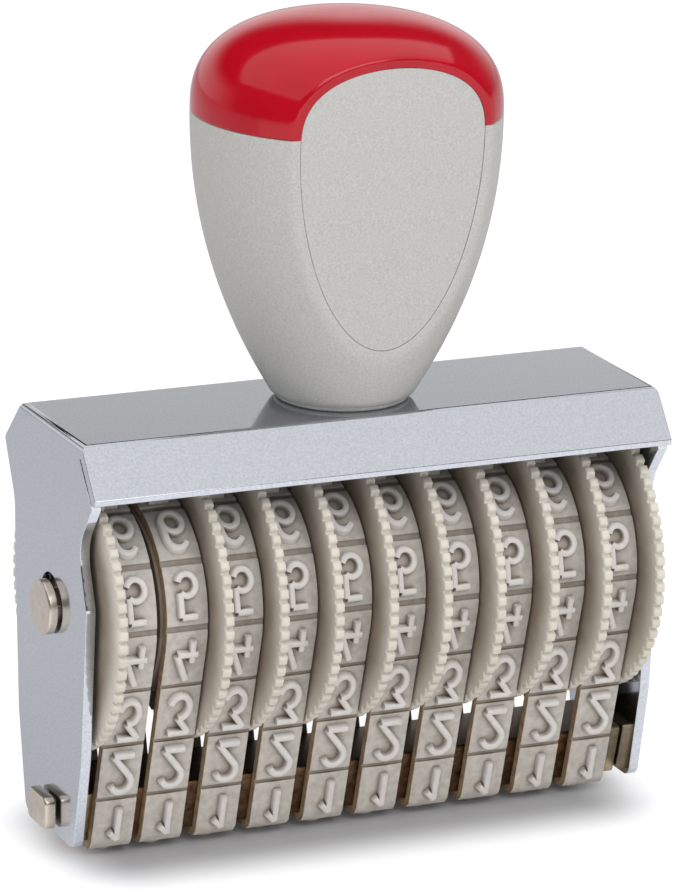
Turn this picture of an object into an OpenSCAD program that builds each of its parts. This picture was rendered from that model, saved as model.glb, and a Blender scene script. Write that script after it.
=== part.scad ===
// Hand number stamp: ten rubber number bands, each turned by its own toothed thumb wheel.
// Millimetres, +Z up. The origin is under the middle of the printing face, which is the plane z = 0.
// X runs along the row of wheels and the front of the stamp faces -Y.

/* [Number bands] */
// Width of one rubber band
band_width = 5; // [3.5:0.1:8]
// Thickness of the band's plain web
band_base = 0.8; // [0.6:0.05:1.4]
// Height of a raised block above the web, with its figure
block_height = 1; // [0.7:0.05:1.8]
// Gap between two blocks where the band runs straight
groove_width = 0.45; // [0.2:0.05:0.9]
// Blocks in one endless band
cell_count = 14; // [12:1:18]
// Room beside the band on its drum
band_margin = 0.25; // [0.1:0.05:0.6]

/* [Thumb wheels] */
// Radius at the tips of the teeth
wheel_radius = 16.8; // [15:0.1:20]
// Radius of the drum that carries the band
drum_radius = 10.95; // [9:0.05:12]
// Thickness of the toothed disc
disc_thickness = 1.05; // [0.8:0.05:1.8]
// Teeth round one disc
tooth_count = 66; // [50:2:80]
// Depth of a tooth
tooth_depth = 0.65; // [0.4:0.05:1.2]
// Width of a tooth at its tip
tooth_tip = 0.92; // [0.4:0.02:1]
// Width of the gap between two teeth at its bottom
tooth_gap = 0.3; // [0.1:0.02:0.4]

/* [Axle] */
// Diameter of the axle
axle_diameter = 4; // [3:0.1:6]
// Height of the axle above the printing face
axle_height = 29.1; // [27:0.1:34]
// Diameter of the flat heads outside the cheeks
head_diameter = 6.4; // [6.2:0.1:10]
// Thickness of the heads
head_thickness = 1; // [0.6:0.05:2]
// Bevel on the outer edge of the heads
head_bevel = 0.25; // [0.05:0.05:0.4]
// Height of the slot's straight sides, from the middle of the axle up
slot_rise = 0.8; // [0.4:0.1:2]
// Width of the arch that tops the slot
arch_width = 6.2; // [4.6:0.1:8]
// Thickness of the spacer washers on the axle
spacer_thickness = 0.35; // [0.2:0.05:1]
// Radial width of the spacer washers
spacer_rim = 2.2; // [1:0.1:4]

/* [Print bar] */
// Depth of the bar's lower face, front to back
bar_depth = 7.8; // [6:0.1:9]
// Height of the bar
bar_height = 6.2; // [5:0.1:7]
// Rounding of the bar's lower edges
bar_corner = 0.4; // [0.2:0.05:1]
// Rounding of the bar's upper edges
bar_crest = 0.4; // [0.1:0.05:1]
// Depth of the neck that lies in the cheek's notch
neck_depth = 3; // [2:0.1:4]
// Height of the neck
neck_height = 2.6; // [2:0.1:3.4]
// Depth of the block outside the cheek
end_depth = 5.7; // [4.5:0.1:8]
// Height of the block outside the cheek
end_height = 3.8; // [3:0.1:5]
// Length of the block outside the cheek
end_length = 1.3; // [0.8:0.1:3]
// Rounding of the block's corners
end_corner = 0.9; // [0.2:0.05:1.4]
// Height of the block's middle above the bar's lower face
end_rise = 3.3; // [2.4:0.05:3.6]

/* [Frame] */
// Thickness of the folded sheet
sheet = 1.2; // [0.8:0.05:2]
// Depth of the flat roof, front to back
roof_depth = 18.7; // [16:0.1:24]
// How far the front brow reaches out from the roof
brow_reach = 4.2; // [2:0.1:6]
// How far the rear brow reaches out from the roof
rear_reach = 5.2; // [2:0.1:6]
// How far each brow drops
brow_drop = 5.3; // [4:0.1:8]
// Outer radius of the fold between roof and cheek
fold_radius = 0.8; // [0.4:0.1:3]
// Open seam between a brow and the cheeks
seam_gap = 0.35; // [0.1:0.05:0.6]
// Length of the join between the front brow and a cheek above that seam
seam_start = 1; // [0.6:0.1:2]
// Height of the cheek's lower edge above the printing face
cheek_lift = 2.4; // [1.5:0.05:3]
// Depth of the cheek at its finger scallop, twice from the middle to the front edge
scallop_depth = 17; // [15:0.1:21]
// The same depth at the rear edge, which is hollowed less
rear_scallop_depth = 22.6; // [15:0.1:24]
// Depth of the cheek at the axle
cheek_depth = 22.2; // [20:0.1:26]
// Depth of the cheek where its lower taper starts
knee_depth = 19.8; // [16:0.1:22]
// Height of that place above the printing face
knee_height = 13.9; // [10:0.1:17]
// Depth of the cheek at its foot
foot_depth = 15; // [12:0.1:18]
// Height of the deepest place of the scallop above the axle
scallop_rise = 9.4; // [7:0.1:12]
// Height of the cheek's hip, below the scallop, above the axle
hip_rise = 2.6; // [1:0.1:5]
// Rounding of the fold along the front and rear of the roof
crease_radius = 0.6; // [0.2:0.05:1.5]
// Rounding of the cheek's corner below the brow
brow_corner = 0.7; // [0.2:0.05:1.5]
// Rounding of the brow's lower edge
lip_radius = 0.2; // [0.1:0.05:0.3]
// Height of the upright edge along the bottom of the brow
lip_height = 0.65; // [0.5:0.05:1]
// Rounding inside the scallop
scallop_radius = 5; // [2:0.1:8]
// Rounding of the hip
hip_radius = 1.2; // [0.4:0.1:4]
// Rounding at the start of the lower taper
knee_radius = 12; // [4:0.5:20]
// Rounding of the cheek's lower corners
toe_radius = 1.4; // [0.5:0.1:3]

/* [Handle] */
// Radius of the handle's round foot
foot_radius = 7.75; // [6.5:0.05:9]
// Radius of the handle where it is widest
handle_radius = 17.7; // [16:0.1:22]
// Height of the widest place above the roof
widest_height = 33.4; // [28:0.1:40]
// Height of the dome above the widest place
dome_height = 11; // [9:0.1:16]
// Fullness of the dome, 2 for an ellipse
dome_fullness = 2.56; // [2:0.02:3]
// Lean of the flank at the foot, in degrees from upright
flank_lean = 32.8; // [20:0.2:40]
// How far the flank keeps its lean above the foot
flank_pull_low = 15.9; // [10:0.1:18]
// How far the flank keeps upright below the widest place
flank_pull_high = 8.1; // [4:0.1:12]
// Distance of each flat facet from the middle of the handle at its widest place
facet_reach = 12.9; // [11:0.1:15]
// Lean of the facets, in degrees
facet_tilt = 2.6; // [0:0.1:5]
// Width of the rim between the facet's edge and its oval
rim_width = 1.15; // [0.6:0.05:2]
// Thickness of the oval tongue that rises into the cap
tongue_depth = 2.4; // [1.5:0.1:3]
// Radius of the spigot that the cap sits on
spigot_radius = 8.5; // [7:0.1:9]
// Height of that spigot
spigot_height = 5; // [3:0.1:7]

/* [Handle screw] */
// Diameter of the screw's shank
screw_diameter = 4; // [3:0.1:5]
// Length of the shank above the roof
screw_reach = 12; // [8:0.1:16]
// Diameter of the screw's head
screw_head = 7.6; // [6.5:0.1:10]
// Height of the screw's head
screw_head_height = 1.8; // [1.2:0.1:3]
// Width of the driver slot in the head
driver_slot = 0.8; // [0.5:0.1:1.2]
// Depth of the driver slot
driver_depth = 0.9; // [0.5:0.1:1]
// Diameter of the washer under the head
screw_washer_diameter = 10; // [8.5:0.1:14]
// Thickness of that washer
screw_washer_thickness = 0.6; // [0.4:0.05:1.2]
// Diameter of the threaded bush in the handle
insert_diameter = 7; // [6.4:0.1:9]
// Length of that bush
insert_length = 13; // [9:0.1:18]

/* [Clearances] */
// Between the drum and the inside of the band
drum_clearance = 0.15; // [0.1:0.01:0.3]
// Between the band and the print bar
band_seat = 0.06; // [0.02:0.01:0.2]
// Between the axle and a wheel's bore, on the radius
bore_clearance = 0.05; // [0.02:0.01:0.1]
// Between the axle and the sides of its slot
slot_clearance = 0.1; // [0.05:0.01:0.3]
// Along the axle, between neighbours
end_play = 0.15; // [0.08:0.01:0.3]
// Between an outside head or block and its cheek
head_gap = 0.3; // [0.1:0.05:0.6]
// Between the neck and its notch
notch_clearance = 0.15; // [0.05:0.01:0.3]
// Between a wheel's teeth and the screw head above it
head_room = 0.9; // [0.4:0.1:2]
// Between a pocket and what is pressed or laid in it
pocket_clearance = 0.05; // [0.02:0.01:0.1]

/* [Hidden] */
wheel_count = 10;

round_fn = 64;
arc_steps = 8;
loop_steps = 24;
flank_steps = 24;
dome_steps = 16;
oval_steps = 72;
search_steps = 24;
// Room that a cutting shape reaches past what it cuts
over = 1;

plated = [0.78, 0.79, 0.81];
nickel = [0.72, 0.66, 0.56];
brass = [0.71, 0.58, 0.36];
rubber = [0.74, 0.71, 0.67];
wheel_plastic = [0.80, 0.76, 0.68];
handle_grey = [0.78, 0.77, 0.74];
cap_red = [0.82, 0.10, 0.14];

// Places along the row of wheels: the first wheel has its disc on its left, the others on their right
drum_length = band_width + 2 * band_margin;
wheel_length = drum_length + disc_thickness;
wheel_pitch = wheel_length + end_play;
spacer_room = spacer_thickness + 2 * end_play;
stack_length = wheel_length + spacer_room + (wheel_count - 1) * wheel_pitch - end_play;
frame_inside = stack_length + 2 * spacer_room;
frame_width = frame_inside + 2 * sheet;
stack_start = -stack_length / 2;
function wheel_start(i) =
    i == 1 ? stack_start : stack_start + wheel_length + spacer_room + (i - 2) * wheel_pitch;
function drum_start(i) = i == 1 ? wheel_start(i) + disc_thickness : wheel_start(i);
function disc_start(i) = i == 1 ? wheel_start(i) : wheel_start(i) + drum_length;

// The loop that a band follows: round the drum, then straight down to the two edges of the print bar
block_top = band_base + block_height;
bar_bottom = block_top + band_seat;
bar_top = bar_bottom + bar_height;
corner_y = bar_depth / 2 - bar_corner;
corner_z = bar_bottom + bar_corner;
drum_bend = drum_radius + drum_clearance;
bar_bend = bar_corner + band_seat;
centre_span = norm([corner_y, axle_height - corner_z]);
run_lean = asin((drum_bend - bar_bend) / centre_span) - atan2(corner_y, axle_height - corner_z);
run_length = sqrt(pow(centre_span, 2) - pow(drum_bend - bar_bend, 2));
web_middle = band_base / 2;
corner_arc = (bar_bend + web_middle) * (90 - run_lean) * PI / 180;
drum_arc = (drum_bend + web_middle) * (90 + run_lean) * PI / 180;
half_loop = corner_y + corner_arc + run_length + drum_arc;
cell_pitch = 2 * half_loop / cell_count;

// Heights of the frame, from the printing face up
roof_inside = axle_height + wheel_radius + head_room + screw_head_height + screw_washer_thickness;
frame_top = roof_inside + sheet;
slot_radius = axle_diameter / 2 + slot_clearance;
brow_edge = frame_top - brow_drop;
end_middle = bar_bottom + end_rise;

// Heights of the handle
widest = frame_top + widest_height;

function polar(r, angle) = [r * cos(angle), r * sin(angle)];

// Corner b of an outline, given with its neighbours a and c, as an arc of radius r
function fillet(a, b, c, r) =
    let (
        u = (a - b) / norm(a - b),
        v = (c - b) / norm(c - b),
        half = acos(u * v) / 2,
        middle = b + (u + v) / norm(u + v) * r / sin(half),
        first = b + u * r / tan(half) - middle,
        last = b + v * r / tan(half) - middle,
        start = atan2(first[1], first[0]),
        turn = (atan2(last[1], last[0]) - start + 540) % 360 - 180
    )
    [for (k = [0:arc_steps]) middle + polar(r, start + turn * k / arc_steps)];

// Closed outline with every corner rounded; each point is [x, y, radius]
function rounded(points) =
    let (n = len(points), xy = [for (p = points) [p[0], p[1]]])
    [for (i = [0:n - 1])
        each points[i][2] > 0
            ? fillet(xy[(i + n - 1) % n], xy[i], xy[(i + 1) % n], points[i][2])
            : [xy[i]]];

// The same points on the other side, in the order that goes on round the outline
function turned_over(points) =
    [for (i = [len(points) - 1:-1:0]) [-points[i][0], points[i][1], points[i][2]]];

function mirrored(points) = concat(points, turned_over(points));

// Draws a YZ outline and gives it a length along X
module along_x(start, length) {
    translate([start, 0, 0]) rotate([90, 0, 90]) linear_extrude(height = length) children();
}

module rod_x(start, length, diameter) {
    translate([start, 0, axle_height]) rotate([0, 90, 0])
        cylinder(h = length, d = diameter, $fn = round_fn);
}

// Frame

// Half of the cheek's outline, from the roof down to the foot
function cheek_half(reach, hollow) = [
    [roof_depth / 2, frame_top, crease_radius],
    [roof_depth / 2 + reach, brow_edge, brow_corner],
    [hollow / 2, axle_height + scallop_rise, scallop_radius],
    [cheek_depth / 2, axle_height + hip_rise, hip_radius],
    [knee_depth / 2, knee_height, knee_radius],
    [foot_depth / 2, cheek_lift, toe_radius]
];

module cheek_outline() {
    front = cheek_half(brow_reach, scallop_depth);
    rear = cheek_half(rear_reach, rear_scallop_depth);
    polygon(rounded(concat(rear, turned_over(front))));
}

// The outside of the folded sheet, from the cheeks' feet over the roof
fold_outside = [[frame_width / 2, cheek_lift - over, 0], [frame_width / 2, frame_top, fold_radius]];
fold_inside = [
    [frame_inside / 2, cheek_lift - 2 * over, 0],
    [frame_inside / 2, roof_inside, max(fold_radius - sheet, 0)]
];

// Draws a mirrored XZ outline and carries it through the depth of the frame
module along_y(half_outline) {
    reach = roof_depth / 2 + max(brow_reach, rear_reach) + over;
    translate([0, reach, 0]) rotate([90, 0, 0]) linear_extrude(height = 2 * reach)
        polygon(rounded(mirrored(half_outline)));
}

// The sheet folded down over both ends of the roof
module folded_sheet() {
    difference() {
        along_y(fold_outside);
        along_y(fold_inside);
    }
}

// A brow's slope: its upper and lower outside corners, the way down it and the way in through the sheet
slope_top = [roof_depth / 2, frame_top];
function slope_low(reach) = slope_top + [reach, -brow_drop];
function way_down(reach) = polar(1, -atan2(brow_drop, reach));
function way_in(reach) = polar(1, -90 - atan2(brow_drop, reach));

module brow(reach, width) {
    root = slope_top - [sheet, sheet / 2];
    low = slope_low(reach);
    inner_top = slope_top + sheet * way_in(reach);
    inner_low = low + sheet * way_in(reach);
    along_x(-width / 2, width)
        polygon(rounded([
            [root[0], root[1], 0],
            [root[0], frame_top, 0],
            [slope_top[0], slope_top[1], crease_radius],
            [low[0], low[1], lip_radius],
            [low[0], brow_edge - lip_height, lip_radius],
            [inner_low[0], inner_low[1], 0],
            [inner_top[0], inner_top[1], 0]
        ]));
}

// The cut that parts a brow from the edges of the cheeks behind it
module seam(reach) {
    low = slope_low(reach);
    inwards = way_in(reach);
    upper = slope_top + seam_start * way_down(reach);
    lower = low + 3 * over * way_down(reach) + (sheet + seam_gap) * inwards;
    outside = low[0] + 3 * over;
    along_x(-frame_width / 2 - over, frame_width + 2 * over)
        polygon([
            upper + sheet * inwards,
            low + sheet * inwards,
            [low[0], brow_edge - lip_height],
            [outside, brow_edge - lip_height],
            [outside, lower[1]],
            lower,
            upper + (sheet + seam_gap) * inwards
        ]);
}

// The axle lies in the narrow foot of its slot, under an arch
module axle_slots() {
    along_x(-frame_width / 2 - over, frame_width + 2 * over) translate([0, axle_height]) {
        circle(r = slot_radius, $fn = round_fn);
        translate([-slot_radius, 0]) square([2 * slot_radius, slot_rise]);
        translate([0, slot_rise]) intersection() {
            circle(d = arch_width, $fn = round_fn);
            translate([-arch_width / 2, 0]) square(arch_width);
        }
    }
}

module neck_notches() {
    width = neck_depth + 2 * notch_clearance;
    notch_top = end_middle + neck_height / 2 + notch_clearance;
    along_x(-frame_width / 2 - over, frame_width + 2 * over)
        translate([-width / 2, -over]) square([width, notch_top + over]);
}

module frame() {
    color(plated) difference() {
        union() {
            intersection() {
                folded_sheet();
                along_x(-frame_width, 2 * frame_width) cheek_outline();
            }
            intersection() {
                along_y(fold_outside);
                mirror([0, 1, 0]) brow(brow_reach, frame_width);
            }
            brow(rear_reach, frame_inside - 2 * seam_gap);
        }
        mirror([0, 1, 0]) seam(brow_reach);
        axle_slots();
        neck_notches();
        translate([0, 0, roof_inside - over])
            cylinder(h = sheet + 2 * over, d = screw_diameter + 2 * pocket_clearance, $fn = round_fn);
    }
}

// Axle and its washers

axle_end = frame_width / 2 + head_gap;

// A flat head that lies outwards from the place given, with its outer edge bevelled
module head_shape(start, way) {
    translate([start, 0, axle_height]) rotate([0, 90 * way, 0]) rotate_extrude($fn = round_fn)
        polygon([
            [0, 0],
            [head_diameter / 2, 0],
            [head_diameter / 2, head_thickness - head_bevel],
            [head_diameter / 2 - head_bevel, head_thickness],
            [0, head_thickness]
        ]);
}

module axle() {
    color(nickel) {
        rod_x(-axle_end, 2 * axle_end + head_thickness, axle_diameter);
        head_shape(-axle_end, -1);
    }
}

module axle_cap() {
    color(nickel) difference() {
        head_shape(axle_end, 1);
        rod_x(axle_end - over, head_thickness + 2 * over, axle_diameter + 2 * pocket_clearance);
    }
}

module spacer(start) {
    color(nickel) difference() {
        rod_x(start, spacer_thickness, axle_diameter + 2 * spacer_rim);
        rod_x(start - over, spacer_thickness + 2 * over, axle_diameter + 2 * bore_clearance);
    }
}

module left_washer() {
    spacer(-frame_inside / 2 + end_play);
}

module mid_washer() {
    spacer(wheel_start(2) - end_play - spacer_thickness);
}

module right_washer() {
    spacer(frame_inside / 2 - end_play - spacer_thickness);
}

// Print bar

// The bar's flanks lean like the bands that pass over them
module bar_outline() {
    toe = corner_y + bar_corner * (cos(run_lean) - (1 - sin(run_lean)) * tan(run_lean));
    polygon(rounded(mirrored([
        [toe + bar_height * tan(run_lean), bar_top, bar_crest],
        [toe, bar_bottom, bar_corner]
    ])));
}

module end_block(start) {
    half = end_depth / 2;
    low = end_middle - end_height / 2;
    along_x(start, end_length)
        polygon(rounded(mirrored([
            [half, low + end_height, end_corner],
            [half, low, end_corner]
        ])));
}

// The neck that joins an end of the bar to its block, through the cheek
module neck(start, length) {
    along_x(start, length)
        translate([-neck_depth / 2, end_middle - neck_height / 2]) square([neck_depth, neck_height]);
}

module print_bar() {
    bar_end = frame_inside / 2 - end_play;
    block_start = frame_width / 2 + head_gap;
    neck_length = block_start - bar_end + over;
    color(nickel) {
        along_x(-bar_end, 2 * bar_end) bar_outline();
        neck(-block_start, neck_length);
        neck(bar_end - over, neck_length);
        end_block(block_start);
        end_block(-block_start - end_length);
    }
}

// Thumb wheels

module tooth_ring() {
    root_radius = wheel_radius - tooth_depth;
    step = 360 / tooth_count;
    tip_angle = tooth_tip / wheel_radius * 90 / PI;
    gap_angle = tooth_gap / root_radius * 90 / PI;
    polygon([for (k = [0:tooth_count - 1])
        each [
            polar(root_radius, k * step - step / 2 + gap_angle),
            polar(wheel_radius, k * step - tip_angle),
            polar(wheel_radius, k * step + tip_angle),
            polar(root_radius, k * step + step / 2 - gap_angle)
        ]]);
}

module number_wheel(i) {
    color(wheel_plastic) difference() {
        union() {
            along_x(disc_start(i), disc_thickness) translate([0, axle_height]) tooth_ring();
            rod_x(wheel_start(i), wheel_length, 2 * drum_radius);
        }
        rod_x(wheel_start(i) - over, wheel_length + 2 * over, axle_diameter + 2 * bore_clearance);
    }
}

// Number bands

// Everything inside the loop, grown by offset past the inner face of the band
module loop_area(offset) {
    half = concat(
        [for (k = [0:loop_steps])
            [0, axle_height] + polar(drum_bend + offset, 90 - (90 + run_lean) * k / loop_steps)],
        [for (k = [0:arc_steps])
            [corner_y, corner_z] + polar(bar_bend + offset, -run_lean - (90 - run_lean) * k / arc_steps)]
    );
    polygon(concat(half, [for (k = [len(half) - 1:-1:1]) [-half[k][0], half[k][1]]]));
}

// Place on the band's middle line at a distance along it from the printing face: [y, z, way out]
function loop_place(distance) =
    distance < 0 ? let (p = loop_place(-distance)) [-p[0], p[1], 180 - p[2]]
    : distance < corner_y ? [distance, bar_bottom - band_seat - web_middle, -90]
    : distance < corner_y + corner_arc
    ? let (
        r = bar_bend + web_middle,
        way = -90 + (distance - corner_y) / r * 180 / PI
    ) [corner_y + r * cos(way), corner_z + r * sin(way), way]
    : distance < corner_y + corner_arc + run_length
    ? let (
        r = bar_bend + web_middle,
        along = distance - corner_y - corner_arc
    ) [
        corner_y + r * cos(run_lean) + along * sin(run_lean),
        corner_z - r * sin(run_lean) + along * cos(run_lean),
        -run_lean
    ]
    : let (
        r = drum_bend + web_middle,
        way = -run_lean + (distance - half_loop + drum_arc) / r * 180 / PI
    ) [r * cos(way), axle_height + r * sin(way), way];

// The blocks stand square on the web; the two beside the printing face also bend round the bar's edges
module block_strips() {
    length = cell_pitch - groove_width;
    bend_start = (cell_pitch + groove_width) / 2;
    for (side = [0, 1]) mirror([side, 0])
        translate([bend_start, -over]) square([bar_depth, corner_z + over]);
    for (k = [0:cell_count - 1]) {
        place = loop_place(k * cell_pitch > half_loop ? k * cell_pitch - 2 * half_loop : k * cell_pitch);
        translate([place[0], place[1]]) rotate(place[2]) translate([-block_top, -length / 2])
            square([3 * block_top, length]);
    }
}

module number_band(i) {
    color(rubber) along_x(drum_start(i) + band_margin, band_width) difference() {
        union() {
            loop_area(band_base);
            intersection() {
                loop_area(block_top);
                block_strips();
            }
        }
        loop_area(0);
    }
}

// Handle

// Outline of the turned handle as [radius, height], from the foot to the top
function flank_point(t) =
    let (
        a = [foot_radius, frame_top],
        b = a + flank_pull_low * [sin(flank_lean), cos(flank_lean)],
        d = [handle_radius, widest],
        c = d - [0, flank_pull_high]
    )
    pow(1 - t, 3) * a + 3 * pow(1 - t, 2) * t * b + 3 * (1 - t) * t * t * c + pow(t, 3) * d;

function dome_point(angle) = [
    handle_radius * pow(max(cos(angle), 0), 2 / dome_fullness),
    widest + dome_height * pow(sin(angle), 2 / dome_fullness)
];

handle_profile = concat(
    [for (k = [0:flank_steps]) flank_point(k / flank_steps)],
    [for (k = [1:dome_steps]) dome_point(90 * k / dome_steps)]
);
radius_table = [for (p = handle_profile) [p[1], p[0]]];

// Puts an upright outline on the front facet, with the widest level as its zero, and thickens it outwards
module on_facet(depth, height) {
    translate([0, -facet_reach, widest]) rotate([90 + facet_tilt, 0, 0])
        translate([0, 0, -depth]) linear_extrude(height = height) children();
}

// Distance from the facet's middle to its edge in one direction, by halving
facet_middle = -widest_height / 4;
function facet_inside(point) =
    let (
        y = facet_reach + point[1] * sin(facet_tilt),
        z = widest + point[1] * cos(facet_tilt)
    )
    z > frame_top && z < widest + dome_height && norm([point[0], y]) < lookup(z, radius_table);
function facet_edge(angle, low = 0, high = 60, left = search_steps) =
    let (mid = (low + high) / 2)
    left == 0 ? mid
    : facet_inside([0, facet_middle] + polar(mid, angle)) ? facet_edge(angle, mid, high, left - 1)
    : facet_edge(angle, low, mid, left - 1);

// The oval on the facet, one rim width inside the facet's edge
module facet_oval() {
    polygon([for (k = [0:oval_steps - 1])
        let (angle = 360 * k / oval_steps)
        [0, facet_middle] + polar(facet_edge(angle) - rim_width, angle)]);
}

module handle_shape() {
    size = 2 * (handle_radius + widest_height);
    difference() {
        rotate_extrude($fn = round_fn) polygon(concat([[0, frame_top]], handle_profile));
        for (side = [0, 1]) mirror([0, side, 0])
            on_facet(0, handle_radius) square(size, center = true);
    }
}

module tongues() {
    for (side = [0, 1]) mirror([0, side, 0])
        on_facet(tongue_depth, tongue_depth + over) facet_oval();
}

module above_widest() {
    size = 3 * handle_radius;
    translate([-size / 2, -size / 2, widest]) cube([size, size, 2 * dome_height]);
}

module handle_body() {
    color(handle_grey) difference() {
        union() {
            difference() {
                handle_shape();
                above_widest();
            }
            intersection() {
                handle_shape();
                above_widest();
                tongues();
            }
            translate([0, 0, widest - over])
                cylinder(h = spigot_height + over, r = spigot_radius, $fn = round_fn);
        }
        translate([0, 0, frame_top - over])
            cylinder(h = insert_length + over, d = insert_diameter + 2 * pocket_clearance, $fn = round_fn);
    }
}

module handle_cap() {
    color(cap_red) difference() {
        intersection() {
            handle_shape();
            above_widest();
        }
        tongues();
        translate([0, 0, widest - over])
            cylinder(
                h = spigot_height + over + pocket_clearance,
                r = spigot_radius + pocket_clearance,
                $fn = round_fn
            );
    }
}

// Handle screw

module handle_insert() {
    color(brass) translate([0, 0, frame_top]) difference() {
        cylinder(h = insert_length, d = insert_diameter, $fn = round_fn);
        translate([0, 0, -over])
            cylinder(
                h = screw_reach + over + pocket_clearance,
                d = screw_diameter + 2 * pocket_clearance,
                $fn = round_fn
            );
    }
}

module screw_washer() {
    color(plated) translate([0, 0, roof_inside - screw_washer_thickness]) difference() {
        cylinder(h = screw_washer_thickness, d = screw_washer_diameter, $fn = round_fn);
        translate([0, 0, -over])
            cylinder(
                h = screw_washer_thickness + 2 * over,
                d = screw_diameter + 2 * pocket_clearance,
                $fn = round_fn
            );
    }
}

module handle_screw() {
    head_low = roof_inside - screw_washer_thickness - screw_head_height;
    color(plated) difference() {
        union() {
            translate([0, 0, head_low])
                cylinder(h = screw_head_height, d = screw_head, $fn = round_fn);
            translate([0, 0, head_low])
                cylinder(h = frame_top + screw_reach - head_low, d = screw_diameter, $fn = round_fn);
        }
        translate([-screw_head, -driver_slot / 2, head_low - over])
            cube([2 * screw_head, driver_slot, over + driver_depth]);
    }
}

frame();
axle();
axle_cap();
print_bar();
left_washer();
mid_washer();
right_washer();
handle_body();
handle_cap();
handle_insert();
handle_screw();
screw_washer();
for (i = [1:wheel_count]) {
    number_wheel(i);
    number_band(i);
}
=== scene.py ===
# %% [markdown]
# # A ten band number stamp, dressed for its photograph
# The imported model gives every piece its real place and size, in metres, with the printing faces on z = 0.
# This lesson gives the pieces their looks. Most are modelled again by hand with rounded edges, because a
# solid with razor edges never catches the light as a moulded or folded piece does. Each new piece hides
# the solid it stands for, and rides on its body.

import math
import random

import bpy
import numpy as np
from mathutils import Matrix, Vector


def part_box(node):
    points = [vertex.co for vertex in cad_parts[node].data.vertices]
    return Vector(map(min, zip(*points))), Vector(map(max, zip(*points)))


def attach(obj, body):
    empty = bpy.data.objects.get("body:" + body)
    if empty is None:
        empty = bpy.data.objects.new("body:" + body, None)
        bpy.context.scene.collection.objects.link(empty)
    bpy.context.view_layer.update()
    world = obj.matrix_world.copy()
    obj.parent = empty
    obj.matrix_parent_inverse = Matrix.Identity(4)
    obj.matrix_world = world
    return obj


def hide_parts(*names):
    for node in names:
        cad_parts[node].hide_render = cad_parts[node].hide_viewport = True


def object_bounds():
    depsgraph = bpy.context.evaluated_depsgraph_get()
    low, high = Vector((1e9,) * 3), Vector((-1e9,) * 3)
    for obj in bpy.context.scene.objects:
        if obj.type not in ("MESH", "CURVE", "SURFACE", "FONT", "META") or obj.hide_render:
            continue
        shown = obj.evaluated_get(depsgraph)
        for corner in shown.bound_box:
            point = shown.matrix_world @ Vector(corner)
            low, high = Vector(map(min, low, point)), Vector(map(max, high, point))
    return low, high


MM = 0.001
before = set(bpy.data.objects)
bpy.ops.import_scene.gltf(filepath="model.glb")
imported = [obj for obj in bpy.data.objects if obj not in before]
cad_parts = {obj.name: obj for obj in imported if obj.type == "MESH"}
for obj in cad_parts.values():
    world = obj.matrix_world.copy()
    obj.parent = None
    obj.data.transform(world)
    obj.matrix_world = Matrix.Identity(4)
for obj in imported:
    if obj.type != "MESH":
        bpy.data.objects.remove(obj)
cad_low, cad_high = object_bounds()
scene = bpy.context.scene
scene.view_settings.view_transform = "Standard"
print("solids:", len(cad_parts), "size in mm:", [round(v / MM, 1) for v in cad_high - cad_low])

# %% [markdown]
# ## The camera
# The stamp was photographed with a long lens from a little above, turned so that its left cheek shows.
# The turn, the height and the small roll were measured from straight edges of the frame that run away
# from the lens. The camera is built from three directions at right angles: to its right, up, and back
# from the stamp.

# %% Camera
LOOK_AT = Vector((-0.09, 0.0, 44.26)) * MM
TURN = math.radians(-24.04)
HEIGHT = math.radians(16.24)
ROLL = math.radians(1.02)
DISTANCE = 676.9 * MM
LENS = 238.9
SENSOR_WIDTH = 36

back = Vector((math.sin(TURN) * math.cos(HEIGHT), -math.cos(TURN) * math.cos(HEIGHT), math.sin(HEIGHT)))
level = Vector((0, 0, 1)).cross(back).normalized()
upright = back.cross(level)
right = level * math.cos(ROLL) + upright * math.sin(ROLL)
up = upright * math.cos(ROLL) - level * math.sin(ROLL)

bpy.ops.object.select_all(action="DESELECT")
bpy.ops.object.camera_add()
camera = bpy.context.object
camera.data.lens = LENS
camera.data.sensor_width = SENSOR_WIDTH
place = Matrix((right, up, back)).transposed().to_4x4()
place.translation = LOOK_AT + back * DISTANCE
camera.matrix_world = place
scene.camera = camera
print("camera stands at", [round(v, 3) for v in camera.location])

# %% [markdown]
# ## Room, floor and lamps
# The photograph is a plain studio picture: white all round, soft lamps above and in front, and a soft
# dark shadow under the bands. Polished sheet shows its surroundings, so the room that the metal mirrors
# has a shape: a white wall behind the stamp, and a dark gap between the top of that wall and the lamp
# above. The roof mirrors the wall, the brow mirrors the lamp, and the gap draws the fine black line along
# every fold of the frame. For light alone the room is a soft fill, a little brighter at the left.

# %% Helpers for node trees
def fill_in(tree, node, inputs):
    """Sets some inputs of a node; a value that is the socket of another node becomes a link."""
    for name, value in inputs.items():
        if isinstance(value, bpy.types.NodeSocket):
            tree.links.new(value, node.inputs[name])
        else:
            node.inputs[name].default_value = value


def add_node(tree, kind, inputs=None, **settings):
    """A new node with some of its settings and inputs filled in."""
    made = tree.nodes.new(kind)
    for name, value in settings.items():
        setattr(made, name, value)
    fill_in(tree, made, inputs or {})
    return made


def mapped(tree, socket, start, stop, low=0.0, high=1.0, soft=False):
    """A value that runs from low to high while the socket runs from start to stop."""
    made = add_node(
        tree,
        "ShaderNodeMapRange",
        {"Value": socket, "From Min": start, "From Max": stop, "To Min": low, "To Max": high},
        interpolation_type="SMOOTHSTEP" if soft else "LINEAR",
    )
    return made.outputs["Result"]


def mixed(tree, factor, first, second, kind="FLOAT"):
    """A number or a colour that goes from the first to the second while the factor goes from 0 to 1."""
    made = add_node(tree, "ShaderNodeMix", {"Factor": factor, "A": first, "B": second}, data_type=kind)
    return made.outputs["Result"]


def maths(tree, operation, *values):
    """The result of one operation on numbers."""
    made = add_node(tree, "ShaderNodeMath", dict(enumerate(values)), operation=operation)
    return made.outputs[0]


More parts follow.
